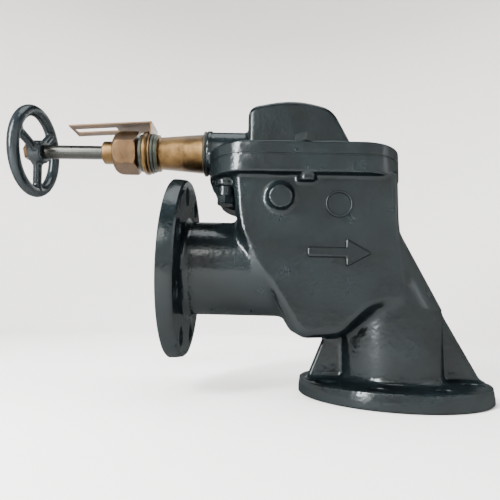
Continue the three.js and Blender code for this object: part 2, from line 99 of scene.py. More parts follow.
FLOOR_R, WALL_R, WALL_H, BEND_R = 1150.0, 1500.0, 1700.0, 350.0
bend = np.linspace(-np.pi / 2, 0, 24)
floor_profile = np.array(
    [(0.0, 0.0)]
    + [(BEND_R + BEND_R * math.sin(b), FLOOR_R + BEND_R * math.cos(b)) for b in bend]
    + [(WALL_H, WALL_R)]
)
paper, tree = new_material("matte_backdrop_paper")
finish_material(
    tree,
    add(tree, "ShaderNodeBsdfPrincipled", {"Base Color": linear("#eceae8"), "Roughness": 0.9}),
)
turn = np.linspace(0, 2 * np.pi, 96, endpoint=False)
floor_points = np.stack(
    [
        floor_profile[:, 1:] * np.cos(turn) - 130,
        floor_profile[:, 1:] * np.sin(turn),
        np.broadcast_to(floor_profile[:, :1] - 0.2, (len(floor_profile), 96)),
    ],
    -1,
).reshape(-1, 3)
floor = build_mesh(
    "floor", floor_points, grid_faces(len(floor_profile), 96, False, True)[:, ::-1], paper, 60
)


def soft_box(name, place, target, size, power, colour):
    """An area light in metres that faces its target."""
    light = bpy.data.lights.new(name, "AREA")
    light.shape = "RECTANGLE"
    light.size, light.size_y = size
    light.energy = power
    light.color = linear(colour)[:3]
    lamp = bpy.data.objects.new(name, light)
    bpy.context.scene.collection.objects.link(lamp)
    lamp.location = place
    lamp.visible_camera = False
    lamp.rotation_euler = (Vector(target) - Vector(place)).to_track_quat("-Z", "Y").to_euler()


VALVE_CENTRE = (-0.13, 0.0, 0.15)
soft_box("window_left", (-0.77, -0.7, 0.53), (-0.13, 0.0, 0.2), (0.18, 0.86), 55, "#ffffff")
soft_box("window_front", (-0.45, -1.15, 0.9), VALVE_CENTRE, (0.3, 0.3), 4, "#fffaf4")
soft_box("overhead", (-0.1, 0.1, 1.5), VALVE_CENTRE, (0.9, 0.9), 30, "#ffffff")
soft_box("window_right", (1.0, -0.3, 0.7), VALVE_CENTRE, (0.3, 0.7), 3, "#f4f6ff")
soft_box("window_back", (-0.2, 1.15, 0.8), VALVE_CENTRE, (0.9, 0.5), 16, "#ffffff")

world = bpy.data.worlds.new("studio")
bpy.context.scene.world = world
world.use_nodes = True
world.node_tree.nodes["Background"].inputs["Color"].default_value = linear("#eef0f2")
world.node_tree.nodes["Background"].inputs["Strength"].default_value = 0.1

CAMERA_PLACE = Vector((-0.1344, -0.4577, 0.0777))
CAMERA_LOOK = Vector((-0.023, 0.990, 0.142)).normalized()
CAMERA_UP = Vector((-0.021, -0.142, 0.990))
camera = bpy.data.objects.new("camera", bpy.data.cameras.new("camera"))
bpy.context.scene.collection.objects.link(camera)
camera.data.lens = 31.4
camera.data.sensor_width = 36.0
camera.data.clip_start = 0.01
right = CAMERA_LOOK.cross(CAMERA_UP).normalized()
above = right.cross(CAMERA_LOOK)
camera.matrix_world = Matrix(
    (
        (right.x, above.x, -CAMERA_LOOK.x, CAMERA_PLACE.x),
        (right.y, above.y, -CAMERA_LOOK.y, CAMERA_PLACE.y),
        (right.z, above.z, -CAMERA_LOOK.z, CAMERA_PLACE.z),
        (0, 0, 0, 1),
    )
)
bpy.context.scene.camera = camera


# ---- Body casting ----
# A cast steel elbow body: inlet pipe, deep flat-sided chamber, leaning outlet neck, two ribs and a
# lug, all blended with cast fillets, then brushed with glossy dark slate enamel.
GLOSS_SHARE = 0.019


def enamel(name, dark, light):
    """Enamel brushed on a sand casting: gloss broken by casting lumps and brush ripple. The gloss is a fixed
    share of the light, so it doesn't rise at glancing angles as real paint does."""
    material, tree = new_material(name)
    place = add(tree, "ShaderNodeTexCoord").outputs["Object"]
    patches = add(tree, "ShaderNodeTexNoise", {"Vector": place, "Scale": 34.0, "Detail": 4.0})
    specks = add(tree, "ShaderNodeTexNoise", {"Vector": place, "Scale": 180.0, "Detail": 1.0})
    lumps = add(tree, "ShaderNodeTexNoise", {"Vector": place, "Scale": 110.0, "Detail": 1.0})
    ripple = add(tree, "ShaderNodeTexNoise", {"Vector": place, "Scale": 330.0, "Detail": 0.0})
    mixed = add(
        tree,
        "ShaderNodeMapRange",
        {"Value": patches.outputs[0], "From Min": 0.35, "From Max": 0.65},
    )
    colour = add(
        tree,
        "ShaderNodeMix",
        {0: mixed.outputs[0], 6: linear(dark), 7: linear(light)},
        data_type="RGBA",
    )
    gloss = add(
        tree,
        "ShaderNodeMapRange",
        {"Value": specks.outputs[0], "From Min": 0.3, "From Max": 0.7, "To Min": 0.15, "To Max": 0.24},
    )
    rough = add(
        tree,
        "ShaderNodeBump",
        {"Height": lumps.outputs[0], "Strength": 0.35, "Distance": 0.0006},
    )
    fine = add(
        tree,
        "ShaderNodeBump",
        {"Height": ripple.outputs[0], "Strength": 0.5, "Distance": 0.0003, "Normal": rough.outputs[0]},
    )
    pigment = add(
        tree,
        "ShaderNodeBsdfPrincipled",
        {
            "Base Color": colour.outputs[2],
            "Roughness": 0.9,
            "Normal": fine.outputs[0],
            "Specular IOR Level": 0.0,
        },
    )
    skin = add(
        tree,
        "ShaderNodeBsdfGlossy",
        {"Color": linear("#f0f8fa"), "Roughness": gloss.outputs[0], "Normal": fine.outputs[0]},
    )
    shader = add(
        tree,
        "ShaderNodeMixShader",
        {0: GLOSS_SHARE, 1: pigment.outputs[0], 2: skin.outputs[0]},
    )
    finish_material(tree, shader)
    return material


slate_enamel = enamel("slate_enamel_on_cast_steel", "#070a0b", "#0d1315")

def filleted(corners, radii, steps=6, closed=True):
    """Each corner becomes a parabolic arc that leaves its two sides at the given distance from it."""
    points = np.asarray(corners, float)
    before, after = np.roll(points, 1, 0), np.roll(points, -1, 0)
    radii = np.broadcast_to(np.asarray(radii, float), len(points)).copy()
    if not closed:
        radii[[0, -1]] = 0
    s = np.linspace(0, 1, steps)[:, None]
    out = []
    for p, a, b, r in zip(points, before, after, radii):
        if r == 0:
            out.append(p[None])
            continue
        to_a = (a - p) / np.linalg.norm(a - p) * min(r, np.linalg.norm(a - p) / 2)
        to_b = (b - p) / np.linalg.norm(b - p) * min(r, np.linalg.norm(b - p) / 2)
        out.append(p + (1 - s) ** 2 * to_a + s**2 * to_b)
    return np.concatenate(out)


def tidy_mesh(piece, sharp=35):
    """Merges doubles at poles and points every face outwards."""
    bm = bmesh.new()
    bm.from_mesh(piece.data)
    bmesh.ops.remove_doubles(bm, verts=bm.verts, dist=1e-7)
    bmesh.ops.dissolve_degenerate(bm, edges=bm.edges, dist=1e-7)
    bmesh.ops.recalc_face_normals(bm, faces=bm.faces)
    bm.to_mesh(piece.data)
    bm.free()
    piece.data.polygons.foreach_set("use_smooth", np.ones(len(piece.data.polygons), bool))
    piece.data.set_sharp_from_angle(angle=math.radians(sharp))


AXES = {"x": (1, 2, 0), "y": (2, 0, 1), "z": (0, 1, 2)}


def lathe(name, profile, axis, centre, material, turns=96, sharp=35, tilt=0.0):
    """Carries a profile of (place along the axis, radius) round the axis, and joins its last ring to its
    first. The faces are turned outwards afterwards, so the profile may run either way."""
    profile = np.asarray(profile, float)
    angle = np.linspace(0, 2 * np.pi, turns, endpoint=False)
    points = np.zeros((len(profile), turns, 3))
    across, up, along = AXES[axis]
    points[:, :, across] = profile[:, 1:] * np.cos(angle)
    points[:, :, up] = profile[:, 1:] * np.sin(angle)
    points[:, :, along] = profile[:, :1]
    points = points.reshape(-1, 3)
    if tilt:
        points = points @ np.array(Matrix.Rotation(-tilt, 3, "Y")).T
    points = points + np.asarray(centre, float)
    piece = build_mesh(name, points, grid_faces(len(profile), turns, True, True), material, sharp)
    tidy_mesh(piece, sharp)
    return piece


def in_place(piece, body, slot, *nodes):
    """The piece stands for these CAD nodes and rides on their body. The slot argument is not used."""
    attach(piece, body)
    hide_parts(*nodes)
    return piece


INLET_Z = 123.0
JOINT_Z = 227.0
PIN_X, PIN_Z = -116.0, 187.0
FLANGE_R, FLANGE_T, PITCH_R, HOLE_R, HOLES = 92.5, 15.0, 75.0, 9.5, 8
RIM = {"left": -188.0, "right": 5.5, "half": 62.0, "corner": 44.0}
SEAT_X, SEAT_TILT = -118.5, math.radians(29)
HIDDEN = 0.15  # a cast surface lies this far under the crisp face that covers it


def radial(a, b, r):
    """Distance to a round bar's side: the distance from its axis less the radius."""
    return np.hypot(a, b) - r


def between(value, low, high):
    """Distance to a slab: how far a coordinate is from its middle less half its thickness."""
    return np.abs(value - (low + high) / 2) - (high - low) / 2


def meet(a, b, r):
    """The overlap of two solids, with their common edge rounded to radius r."""
    return np.minimum(np.maximum(a + r, b + r), 0) + np.hypot(np.maximum(a + r, 0), np.maximum(b + r, 0)) - r


def unite(a, b, r):
    """The union of two solids, with a round fillet of radius r in the corner between them."""
    return np.maximum(r, np.minimum(a, b)) - np.hypot(np.maximum(r - a, 0), np.maximum(r - b, 0))


def carve(a, tool, r):
    """Solid a less a tool, with the edge it leaves rounded to radius r."""
    return -unite(-a, tool, r)


def within(a, b, corners):
    """Distance to a polygon: the least distance to its sides, negative where a ray crosses an odd number
    of them."""
    nearest, odd = np.inf, False
    for (p, q), (p2, q2) in zip(corners, np.roll(corners, -1, 0)):
        u, v = p2 - p, q2 - q
        share = np.clip(((a - p) * u + (b - q) * v) / max(u * u + v * v, 1e-9), 0, 1)
        nearest = np.minimum(nearest, (a - p - share * u) ** 2 + (b - q - share * v) ** 2)
        if v:
            odd = odd ^ (((q > b) != (q2 > b)) & (a < (b - q) / v * u + p))
    return np.where(odd, -1, 1) * np.sqrt(nearest)


def rounded_rectangle(x, y, left, right, half, corner):
    """Distance to a rectangle with round corners: that to a smaller rectangle, less the corner radius."""
    across = np.abs(x - (left + right) / 2) - (right - left) / 2 + corner
    up = np.abs(y) - half + corner
    return np.hypot(np.maximum(across, 0), np.maximum(up, 0)) + np.minimum(np.maximum(across, up), 0) - corner


def cast_shape(field, low, high, pitch):
    """The surface where a distance field is zero. Each cell the surface crosses gets one point at the mean
    of its edge crossings, moved three times down the field's slope, and each crossed edge gets one quad."""
    axes = [np.arange(a, b + pitch, pitch, dtype=np.float32) for a, b in zip(low, high)]
    value = field(axes[0][:, None, None], axes[1][None, :, None], axes[2][None, None, :])
    value = np.broadcast_to(value, [len(a) for a in axes]).astype(np.float32)
    inside = value < 0
    cells = tuple(n - 1 for n in value.shape)
    total, count = np.zeros(cells + (3,), np.float32), np.zeros(cells, np.float32)
    crossed = []
    for k in range(3):
        first = tuple(slice(0, -1) if a == k else slice(None) for a in range(3))
        second = tuple(slice(1, None) if a == k else slice(None) for a in range(3))
        hit = np.argwhere(inside[first] != inside[second])
        v0, v1 = value[first][tuple(hit.T)], value[second][tuple(hit.T)]
        point = hit.astype(np.float32)
        point[:, k] += v0 / (v0 - v1)
        others = [a for a in range(3) if a != k]
        for da in (0, 1):
            for db in (0, 1):
                cell = hit.copy()
                cell[:, others[0]] -= da
                cell[:, others[1]] -= db
                ok = np.all((cell >= 0) & (cell < cells), axis=1)
                np.add.at(total, tuple(cell[ok].T), point[ok])
                np.add.at(count, tuple(cell[ok].T), 1)
        crossed.append((k, others, hit, v0 < 0))
    used = count > 0
    index = np.full(cells, -1, np.int64)
    index[used] = np.arange(used.sum())
    points = total[used] / count[used][:, None] * pitch + np.asarray(low, np.float32)
    quads = []
    for k, (a, b), hit, leaving in crossed:
        corners = []
        for da, db in ((1, 1), (0, 1), (0, 0), (1, 0)):
            cell = hit.copy()
            cell[:, a] -= da
            cell[:, b] -= db
            cell = np.clip(cell, 0, np.array(cells) - 1)
            corners.append(index[tuple(cell.T)])
        quad = np.stack(corners, 1)
        turned = leaving if k != 1 else ~leaving
        quads.append(np.where(turned[:, None], quad, quad[:, ::-1]))
    quads = np.concatenate(quads)
    points = points.astype(float)
    step = pitch / 4
    for _ in range(3):
        here = field(*points.T)
        slope = np.stack(
            [(field(*(points + s).T) - field(*(points - s).T)) / (2 * step) for s in np.eye(3) * step], 1
        )
        size = np.maximum((slope**2).sum(1, keepdims=True), 0.2)
        points -= np.clip(here[:, None] * slope / size, -pitch / 2, pitch / 2)
    return points, quads[(quads >= 0).all(1)]


CHAMBER = filleted(
    [[-163, 216], [-159, 175], [-154.5, 150], [-97, 55], [-58, 57], [-43, 73], [-20, 94], [-2, 98], [-2, 216]],
    [0, 0, 22, 9, 8, 12, 12, 8, 0],
)
HOLLOW = filleted(
    [[-150, 205], [-147, 170.3], [-87, 62], [-61, 62], [-28, 99], [-9, 103], [-9, 205]], [6, 8, 6, 8, 8, 4, 6]
)
LUG = filleted([[-148, 216], [-187, 216], [-183, 200], [-174, 184.5], [-148, 180]], [0, 0, 10, 18, 0])
LEFT_RIB = np.array([[-85, 13], [-40, 13], [-40, 62], [-66, 59]], float)
RIGHT_RIB = np.array([[40, 13], [90, 13], [50, 86], [40, 86]], float)
COVER_BOLTS = [
    ("cover_bolt_near", -91, -51, 22),
    ("cover_bolt_far", -91, 51, 41),
    ("cover_bolt_right", -8, 0, 8),
]
UNDER_BOLTS = [("under_bolt_near", -170.2, -29, 192.5), ("under_bolt_far", -170.2, 29, 201.0)]


def leaning(x, y, z, r):
    """Distance to the outlet neck, whose level round sections move left as they rise."""
    shift = np.clip((z - 85) / 101, 0, 1) * -51.5
    return (np.hypot(x - shift, y) - r) * 0.93


def casting(x, y, z):
    """Distance to the body casting: its blended outside less its bores, chamber and drilled holes."""
    inlet = radial(y, z - INLET_Z, 48.4)
    pipe = meet(inlet, between(x, -223.5, -106), 0.5)
    foot = meet(radial(y, z - INLET_Z, 62), between(x, -223.5, -209.2), 0.5)
    solid = unite(pipe, foot, 6)
    chamber = meet(within(x, z, CHAMBER), np.abs(y) - 52, 8)
    solid = unite(solid, chamber, 7)
    neck = meet(leaning(x, y, z, 50), between(z, 3, 186), 0.5)
    solid = np.maximum(unite(solid, neck, 12), np.abs(y) - 52)
    disc = meet(radial(x, y, FLANGE_R - 1), between(z, 0.8, FLANGE_T - HIDDEN), 1)
    for i in range(HOLES):
        a = (i + 0.5) * math.pi / 4
        disc = np.maximum(disc, -radial(x - PITCH_R * math.cos(a), y - PITCH_R * math.sin(a), HOLE_R + 0.8))
    solid = unite(solid, disc, 6)
    rib = np.minimum(within(x, z, LEFT_RIB), within(x, z, RIGHT_RIB))
    solid = unite(solid, meet(rib, np.abs(y) - 5, 2.5), 5)
    plate = rounded_rectangle(
        x, y, RIM["left"] + HIDDEN, RIM["right"] - HIDDEN, RIM["half"] - HIDDEN, RIM["corner"] - HIDDEN
    )
    rim = meet(plate, between(z, 210 + HIDDEN, JOINT_Z - 0.3), 2.5)
    for _, bx, by, _turn in COVER_BOLTS[:2]:
        rim = unite(rim, meet(radial(x - bx, y - by, 9), between(z, 203, 216), 2), 2.5)
    for _, bx, by, foot_z in UNDER_BOLTS:
        rim = unite(rim, meet(radial(x - bx, y - by, 11.5), between(z, 202, 216), 2), 2.5)
    solid = unite(solid, rim, 4)
    solid = unite(solid, meet(within(x, z, LUG), np.abs(y) - 19, 5), 4)
    near = meet(radial(x - PIN_X, z - PIN_Z, 11.4), between(y, -60, -40), 1.5)
    far = meet(radial(x - PIN_X, z - PIN_Z, 14), between(y, 40, 58), 1.5)
    solid = unite(solid, near, 7)
    solid = unite(solid, far, 7)
    n = (x - SEAT_X) * math.cos(SEAT_TILT) + (z - INLET_Z) * math.sin(SEAT_TILT)
    t = (z - INLET_Z) * math.cos(SEAT_TILT) - (x - SEAT_X) * math.sin(SEAT_TILT)
    bore = np.maximum(radial(y, z - INLET_Z, 40), n + 10)
    bore = np.minimum(bore, meet(radial(y, t, 39), between(n, -12, 6), 0.1))
    bore = np.minimum(bore, meet(radial(y, t, 44.3), between(n, -7, 8), 0.1))
    hollow = meet(within(x, z, HOLLOW), np.abs(y) - 46, 5)
    hollow = unite(hollow, meet(leaning(x, y, z, 40), z - 150, 1), 5)
    top = meet(rounded_rectangle(x, y, -150, -22, 38, 20), between(z, 198, 240), 0.5)
    hollow = unite(hollow, top, 2)
    solid = carve(solid, np.minimum(hollow, bore), 0.8)
    solid = np.maximum(solid, -np.maximum(radial(x - PIN_X, z - PIN_Z, 7.3), between(y, -55, 62)))
    solid = np.maximum(solid, -np.maximum(radial(x - PIN_X, z - PIN_Z, 9.3), between(y, 52, 62)))
    for _, bx, by, _foot in UNDER_BOLTS:
        solid = np.maximum(solid, -np.maximum(radial(x - bx, y - by, 6.4), between(z, 190, 216)))
    return solid


PITCH = 1.75
points, quads = cast_shape(casting, (-226, -94, -1), (94.5, 94, 229.5), PITCH)
body_casting = build_mesh("body_casting", points, quads, slate_enamel, 50)
in_place(body_casting, "casing", "enamel", "body")


def drilled_flange(name, axis, face, away, centre, material):
    """A flange as eight equal sectors, each a ring of quads from its bolt hole out to the sector's edge,
    carried from the sealing face to the back face; both rims and every hole have small chamfers. The outer
    rim also falls away towards the back, more than a turned one does, so that it catches the window light."""
    around = 48
    sector = math.pi / HOLES
    s = np.arange(around) / around * 2 * np.pi
    hole = np.stack([np.cos(s), np.sin(s)], 1)
    inner, outer, chamfer, crown, hole_chamfer = 39.85, FLANGE_R, 1.2, 1.4, 0.8
    # A ray from the hole's centre reaches the sector's border at the nearest of its four sides.
    mid = (inner + outer) / 2
    half = (outer - inner) / 2
    span = np.abs(hole)
    border = hole / np.maximum(span[:, :1], span[:, 1:])
    rho = mid + border[:, 0] * half
    theta = border[:, 1] * sector
    rings = []
    for along, out, step in (
        (0.0, 1.0, 0.0),
        (0.0, 0.0, hole_chamfer),
        (hole_chamfer, 0.0, 0.0),
        (FLANGE_T - hole_chamfer, 0.0, 0.0),
        (FLANGE_T, 0.0, hole_chamfer),
        (FLANGE_T, 1.0, 0.0),
    ):
        border_rho = np.clip(rho, inner + chamfer, outer - chamfer - (crown if along else 0))
        if out:
            radius, angle = border_rho, theta
        else:
            px = PITCH_R + (HOLE_R + step) * hole[:, 0]
            py = (HOLE_R + step) * hole[:, 1]
            radius, angle = np.hypot(px, py), np.arctan2(py, px)
        rings.append(np.stack([np.full(around, along), radius, angle], 1))
    ring = np.array(rings)
    faces = grid_faces(len(rings), around, False, True)
    all_points, all_faces = [], []
    for i in range(HOLES):
        a = ring[:, :, 2] + (i + 0.5) * 2 * math.pi / HOLES
        all_points.append(
            np.stack([ring[:, :, 0], ring[:, :, 1] * np.cos(a), ring[:, :, 1] * np.sin(a)], -1).reshape(-1, 3)
        )
        all_faces.append(faces + i * len(rings) * around)
    turns = 16 * HOLES
    angle = np.arange(turns) / turns * 2 * np.pi
    start = len(rings) * around * HOLES
    for edge in (
        [
            (0, outer - chamfer),
            (chamfer, outer),
            (5, outer),
            (10, outer - 0.5),
            (13.2, outer - 1.1),
            (FLANGE_T, outer - chamfer - crown),
        ],
        [(FLANGE_T, inner + chamfer), (FLANGE_T - 0.5, inner), (0.5, inner), (0, inner + chamfer)],
    ):
        edge = np.array(edge, float)
        all_points.append(
            np.stack(
                [
                    np.broadcast_to(edge[:, :1], (len(edge), turns)),
                    edge[:, 1:] * np.cos(angle),
                    edge[:, 1:] * np.sin(angle),
                ],
                -1,
            ).reshape(-1, 3)
        )
        all_faces.append(grid_faces(len(edge), turns, False, True) + start)
        start += len(edge) * turns
    local = np.concatenate(all_points)
    across, up, along = AXES[axis]
    placed = np.zeros_like(local)
    placed[:, along] = face + away * local[:, 0]
    placed[:, across] = centre[across] + local[:, 1]
    placed[:, up] = centre[up] + local[:, 2]
    piece = build_mesh(name, placed, np.concatenate(all_faces), material, 25)
    tidy_mesh(piece, 25)
    return piece


inlet_flange = drilled_flange("inlet_flange", "x", -224.0, 1, (0, 0, INLET_Z), slate_enamel)
in_place(inlet_flange, "casing", "enamel", "body")
outlet_flange = drilled_flange("outlet_flange", "z", 0.0, 1, (0, 0, 0), slate_enamel)
in_place(outlet_flange, "casing", "enamel", "body")


def rim_outline(inset, steps=20):
    """The rounded rectangle of the joint rim, moved inwards, as points anticlockwise from above."""
    left, right = RIM["left"] + inset, RIM["right"] - inset
    half, corner = RIM["half"] - inset, max(RIM["corner"] - inset, 0.5)
    quarter = np.linspace(0, np.pi / 2, steps)
    parts = []
    for cx, cy, start in (
        (right - corner, half - corner, 0),
        (left + corner, half - corner, np.pi / 2),
        (left + corner, -half + corner, np.pi),
        (right - corner, -half + corner, 1.5 * np.pi),
    ):
        angle = start + quarter
        parts.append(np.stack([cx + corner * np.cos(angle), cy + corner * np.sin(angle)], 1))
    return np.concatenate(parts)


def rim_band(name, profile, material):
    """Carries a profile of (height, distance inwards) round the rim's outline."""
    rows = []
    for z, inset in profile:
        outline = rim_outline(inset)
        rows.append(np.column_stack([outline, np.full(len(outline), z)]))
    points = np.concatenate(rows)
    piece = build_mesh(name, points, grid_faces(len(rows), len(rows[0]), True, True), material, 30)
    tidy_mesh(piece, 30)
    return piece


band = filleted([[JOINT_Z, 8], [JOINT_Z, 0], [210, 0], [210, 6], [214, 8]], [0, 0.6, 3.0, 0, 0])
body_rim = rim_band("body_rim", band, slate_enamel)
in_place(body_rim, "casing", "enamel", "body")


for name, bx, by, foot_z in UNDER_BOLTS:
    sleeve = filleted([[foot_z, 5.3], [foot_z, 8.8], [213, 8.8], [213, 5.3]], [0, 0.9, 0, 0])
    boss = lathe(name + "_boss", sleeve, "z", (bx, by, 0), slate_enamel, 48)
    in_place(boss, "casing", "enamel", "body")


# Cast marks on the near cheek: a plain raised ring and, under it, an arrow the way the water flows.
CHEEK_Y = -52.0
MARK_X, MARK_Z, MARK_R = -60.0, 182.0, 12.0
MARK_LIFT = 1.7
band = filleted(
    [
        [CHEEK_Y + 1, MARK_R + 1.4],
        [CHEEK_Y - MARK_LIFT, MARK_R + 1.0],
        [CHEEK_Y - MARK_LIFT, MARK_R - 1.0],
        [CHEEK_Y + 1, MARK_R - 1.4],
    ],
    [0, 0.8, 0.8, 0],
)
ring_mark = lathe("cast_ring_mark", band, "y", (MARK_X, 0, MARK_Z), slate_enamel, 72, 60)
in_place(ring_mark, "casing", "enamel", "body")

ARROW = filleted(
    [[-90, 140], [-54, 140], [-54, 149], [-30, 135.5], [-54, 122], [-54, 131], [-90, 131]],
    [3, 1.5, 3, 3, 3, 1.5, 3],
)
rows = []
for lift, inset in ((1.0, -0.8), (-1.2, -0.1), (-1.9, 0.6), (-2.1, 1.6)):
    normal = np.roll(ARROW, -1, 0) - np.roll(ARROW, 1, 0)
    length = np.maximum(np.linalg.norm(normal, axis=1, keepdims=True), 1e-6)
    normal = np.stack([-normal[:, 1], normal[:, 0]], 1) / length
    outline = ARROW - normal * inset
    rows.append(np.column_stack([outline[:, 0], np.full(len(outline), CHEEK_Y + lift), outline[:, 1]]))
points = np.concatenate(rows)
arrow_faces = grid_faces(len(rows), len(ARROW), False, True).tolist()
arrow_faces.append([(len(rows) - 1) * len(ARROW) + i for i in range(len(ARROW))])
flow_arrow = bpy.data.meshes.new("flow_arrow")
flow_arrow.from_pydata((points * MM).tolist(), [], arrow_faces)
flow_arrow.materials.append(slate_enamel)
flow_arrow = bpy.data.objects.new("flow_arrow", flow_arrow)
bpy.context.scene.collection.objects.link(flow_arrow)
tidy_mesh(flow_arrow, 60)
in_place(flow_arrow, "casing", "enamel", "body")


# ---- Cover ----
# A cast steel bonnet in the same enamel: a flat rim, a narrow dome over the flap's tail, and a round
# boss to the left that the stem's neck screws into.
COVER_Z, COVER_TOP = 228.5, 241.0
STEM_Z = 248.2
DOME = filleted(
    [[-149.5, 230], [-149.5, 291], [-103, 300.5], [-62, 290.5], [-38, 243], [-38, 230]],
    [0, 11, 40, 13, 0, 0],
    10,
)
DOME_HOLLOW = filleted(
    [[-143.5, 226], [-143.5, 285], [-103, 294], [-68, 284.5], [-46, 243], [-46, 226]], [0, 8, 30, 9, 0, 0], 8
)


def bonnet(x, y, z):
    """Distance to the cover casting: rim, dome and stem boss blended, less the dome's hollow and the bores."""
    plate = rounded_rectangle(
        x, y, RIM["left"] + HIDDEN, RIM["right"] - HIDDEN, RIM["half"] - HIDDEN, RIM["corner"] - HIDDEN
    )
    rim = meet(plate, between(z, COVER_Z + 0.3, COVER_TOP), 2.0)
    dome = meet(within(x, z, DOME), np.abs(y) - 30, 6)
    solid = unite(rim, dome, 5)
    boss = meet(radial(y, z - STEM_Z, 23.5), between(x, -193, -145), 0.8)
    lip = meet(radial(y, z - STEM_Z, 24.8), between(x, -193, -188.6), 0.8)
    boss = unite(boss, lip, 1)
    boss = np.maximum(boss, np.minimum(COVER_Z + 0.3 - z, -188.2 - x))
    solid = unite(solid, boss, 4)
    hollow = meet(within(x, z, DOME_HOLLOW), np.abs(y) - 24.5, 4)
    solid = carve(solid, hollow, 0.6)
    solid = np.maximum(solid, -np.maximum(radial(y, z - STEM_Z, 17.3), between(x, -200, -160)))
    return np.maximum(solid, -np.maximum(radial(y, z - STEM_Z, 16), between(x, -161, -140)))


points, quads = cast_shape(bonnet, (-196, -64, 222), (8, 64, 302), PITCH * 0.85)
cover_casting = build_mesh("cover_casting", points, quads, slate_enamel, 50)
in_place(cover_casting, "casing", "enamel", "cover")

band = filleted(
    [[COVER_Z, 8], [COVER_Z, 0], [COVER_TOP, 0], [COVER_TOP, 6], [COVER_TOP - 4, 8]], [0, 0.5, 2.6, 0, 0]
)
cover_rim = rim_band("cover_rim", band[::-1], slate_enamel)
in_place(cover_rim, "casing", "enamel", "cover")


# ---- Bolts ----
# Forged hexagon-head bolts, painted over with the valve. The chamfered crown is a 30 degree cone.
def hexagon(name, axis, across, foot, height, centre, material, turn=0.0, hole=0.0, both=False):
    """A hexagon head or nut: its radius is the flat's distance over the cosine of the angle from the flat,
    and its face falls away by a third of the distance outside the flats' circle. Turn is in degrees."""
    turns = 72
    theta = np.arange(turns) / turns * 2 * np.pi
    flat = across / 2
    edge = flat / np.cos((theta % (np.pi / 3)) - np.pi / 6)
    crown = flat * 0.96
    sign = math.copysign(1, height)
    shoulder = np.maximum(edge - crown, 0) * 0.55
    shares = [hole if hole else 0.0, crown]
    rows = [(np.full(turns, shares[0]), np.full(turns, float(height)))]
    rows.append((np.full(turns, crown), np.full(turns, float(height))))
    rows.append((edge, height - sign * shoulder))
    lower = sign * shoulder if both else np.zeros(turns)
    rows.append((edge, lower))
    if both:
        rows.append((np.full(turns, crown), np.zeros(turns)))
    rows.append((np.full(turns, shares[0]), np.zeros(turns)))
    across_axis, up, along = AXES[axis]
    points = []
    for r, h in rows:
        row = np.zeros((turns, 3))
        row[:, across_axis] = r * np.cos(theta + math.radians(turn))
        row[:, up] = r * np.sin(theta + math.radians(turn))
        row[:, along] = foot + h
        points.append(row)
    points = np.concatenate(points)
    offset = np.asarray(centre, float).copy()
    offset[along] = 0
    piece = build_mesh(name, points + offset, grid_faces(len(rows), turns, True, True), material, 20)
    tidy_mesh(piece, 20)
    return piece


for name, x, y, turn in COVER_BOLTS:
    head = hexagon(name + "_head", "z", 22, COVER_TOP - 0.1, 8.6, (x, y, 0), slate_enamel, turn)
    in_place(head, "casing", "enamel", name)
for name, x, y, foot_z in UNDER_BOLTS:
    head = hexagon(name + "_head", "z", 16, foot_z + 0.1, -8.1, (x, y, 0), slate_enamel, 30)
    in_place(head, "casing", "enamel", name)


# ---- Stem neck, gland and lock nut ----
# Turned from cast bronze bar and gone golden-brown with handling: a tapered neck screwed into the
# cover, a follower and a hexagon gland nut that squeezes the packing round the stem.
def bronze(name, dark, light, stain, ring_mm, base_rough):
    """Turned bronze: fine lathe rings round the stem's axis, and brown stains where it was handled."""
    material, tree = new_material(name)
    place = add(tree, "ShaderNodeTexCoord").outputs["Object"]
    cloud = add(tree, "ShaderNodeTexNoise", {"Vector": place, "Scale": 55.0, "Detail": 5.0, "Roughness": 0.6})
    stains = add(tree, "ShaderNodeTexNoise", {"Vector": place, "Scale": 140.0, "Detail": 4.0})
    tone = add(
        tree,
        "ShaderNodeMapRange",
        {"Value": cloud.outputs[0], "From Min": 0.3, "From Max": 0.7},
    )
    colour = add(
        tree, "ShaderNodeMix", {0: tone.outputs[0], 6: linear(dark), 7: linear(light)}, data_type="RGBA"
    )
    spots = add(
        tree,
        "ShaderNodeMapRange",
        {"Value": stains.outputs[0], "From Min": 0.56, "From Max": 0.74, "To Max": 0.55},
    )
    stained = add(
        tree, "ShaderNodeMix", {0: spots.outputs[0], 6: colour.outputs[2], 7: linear(stain)}, data_type="RGBA"
    )
    rings = add(
        tree,
        "ShaderNodeTexWave",
        {
            "Vector": place,
            "Scale": 1.0 / (ring_mm * MM) / 20,
            "Distortion": 1.5,
            "Detail": 1.0,
            "Detail Scale": 2.0,
        },
        bands_direction="X",
    )
    fine = add(tree, "ShaderNodeTexNoise", {"Vector": place, "Scale": 700.0, "Detail": 2.0})
    lines = add(tree, "ShaderNodeBump", {"Height": rings.outputs["Fac"], "Strength": 0.12, "Distance": 0.0002})
    grain = add(
        tree,
        "ShaderNodeBump",
        {"Height": fine.outputs[0], "Strength": 0.2, "Distance": 0.0002, "Normal": lines.outputs[0]},
    )
    rough = add(
        tree,
        "ShaderNodeMapRange",
        {
            "Value": cloud.outputs[0],
            "From Min": 0.3,
            "From Max": 0.7,
            "To Min": base_rough,
            "To Max": base_rough + 0.16,
        },
    )
    shader = add(
        tree,
        "ShaderNodeBsdfPrincipled",
        {
            "Base Color": stained.outputs[2],
            "Metallic": 1.0,
            "Roughness": rough.outputs[0],
            "Normal": grain.outputs[0],
        },
    )
    finish_material(tree, shader)
    return material


cast_bronze = bronze("turned_cast_bronze", "#281e11", "#524027", "#171109", 0.8, 0.34)
brown_bronze = bronze("browned_bronze", "#2a2017", "#4c3b29", "#17110b", 1.1, 0.42)
# Darkened bronze: painted shade on the neck's shoulder and on the lock washer, and a darker collar where the
# neck meets the cover.
dark_bronze = bronze("darkened_bronze_with_painted_shade", "#1d211f", "#30332d", "#141412", 1.1, 0.45)
ON_STEM = (0, 0, STEM_Z)
BORE_R = 7.9

